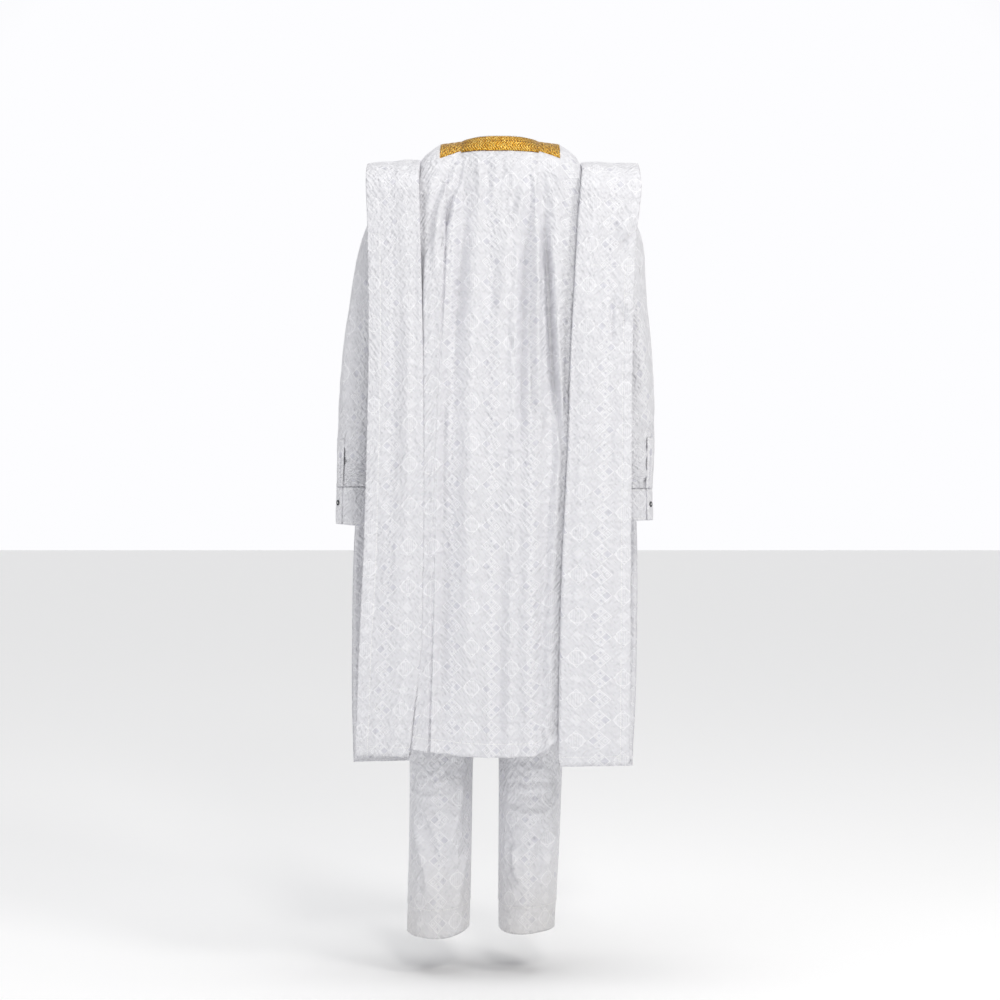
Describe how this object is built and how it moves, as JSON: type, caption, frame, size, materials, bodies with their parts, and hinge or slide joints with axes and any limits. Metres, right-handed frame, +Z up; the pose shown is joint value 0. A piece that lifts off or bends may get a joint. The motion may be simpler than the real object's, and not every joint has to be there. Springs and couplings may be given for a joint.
{
  "type": "african robe suit with tunic and trousers",
  "caption": "Three-piece white damask suit: wide robe with its sleeves folded up onto the shoulders, gold neck trim, long-sleeved tunic and straight trousers",
  "frame": {"origin": "the middle of the neck opening at shoulder height, where the wearer's shoulders carry the suit", "axes": "+Z up, +Y the way the wearer faces, +X to the wearer's right"},
  "size_m": [0.6222, 0.3386, 1.5442],
  "materials": {
    "white_damask": "starched cotton damask with a soft sheen and a tone-on-tone woven pattern",
    "gold_braid": "gold metallic thread braid",
    "dark_button": "dark polished button sewn on with white thread"
  },
  "bodies": {
    "root": {"robe_back": "white_damask", "robe_front": "white_damask", "folded_sleeve_left_back": "white_damask", "folded_sleeve_right_back": "white_damask", "folded_sleeve_left_front": "white_damask", "folded_sleeve_right_front": "white_damask", "neck_trim_back": "gold_braid", "neck_trim_left": "gold_braid", "neck_trim_right": "gold_braid", "tunic_back": "white_damask", "tunic_front": "white_damask", "tunic_neckband": "white_damask", "tunic_placket": "white_damask", "tunic_button_1": "dark_button", "tunic_button_2": "dark_button", "tunic_button_3": "dark_button", "tunic_sleeve_left": "white_damask", "cuff_left": "white_damask", "sleeve_slit_left": "white_damask", "cuff_button_left": "dark_button", "tunic_sleeve_right": "white_damask", "cuff_right": "white_damask", "sleeve_slit_right": "white_damask", "cuff_button_right": "dark_button", "trousers_left_back": "white_damask", "trousers_left_front": "white_damask", "trousers_right_back": "white_damask", "trousers_right_front": "white_damask", "trousers_waistband": "white_damask"}
  },
  "joints": []
}
